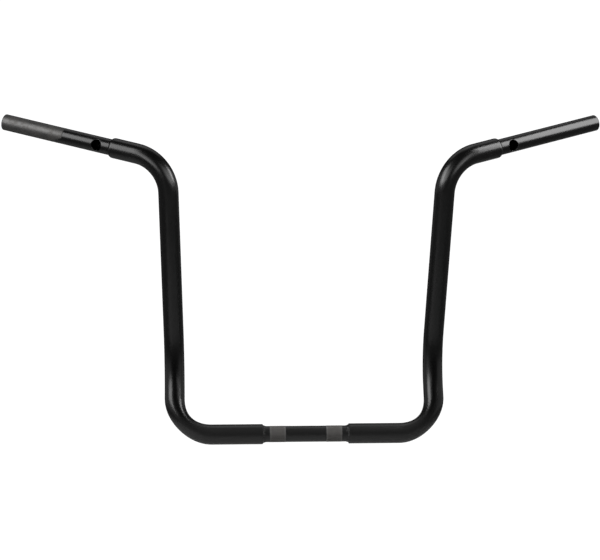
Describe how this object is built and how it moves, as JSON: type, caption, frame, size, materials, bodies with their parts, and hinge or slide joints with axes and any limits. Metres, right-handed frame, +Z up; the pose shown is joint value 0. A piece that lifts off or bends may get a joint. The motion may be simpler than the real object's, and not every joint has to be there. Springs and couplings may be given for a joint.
{
  "type": "motorcycle handlebar",
  "caption": "Tall black handlebar of bent tube for a motorcycle, with a knurled clamp section, kinked uprights and pulled-back ends with wiring holes.",
  "frame": {"origin": "middle of the clamp tube, on its axis", "axes": "+X along the clamp tube to the clutch side (the rider's left), +Z up as the bar is pictured, -Y to the front of the machine"},
  "size_m": [0.9512, 0.1185, 0.5205],
  "materials": {
    "black_coating": "satin",
    "knurled_clamp_tube": "satin",
    "half_bare_tube": "satin"
  },
  "bodies": {
    "root": {"clamp_tube": "knurled_clamp_tube", "throttle_upright": "black_coating", "throttle_grip_tube": "half_bare_tube", "throttle_clamp_weld": "black_coating", "throttle_grip_weld": "black_coating", "clutch_upright": "black_coating", "clutch_grip_tube": "black_coating", "clutch_clamp_weld": "black_coating", "clutch_grip_weld": "black_coating"}
  },
  "joints": []
}
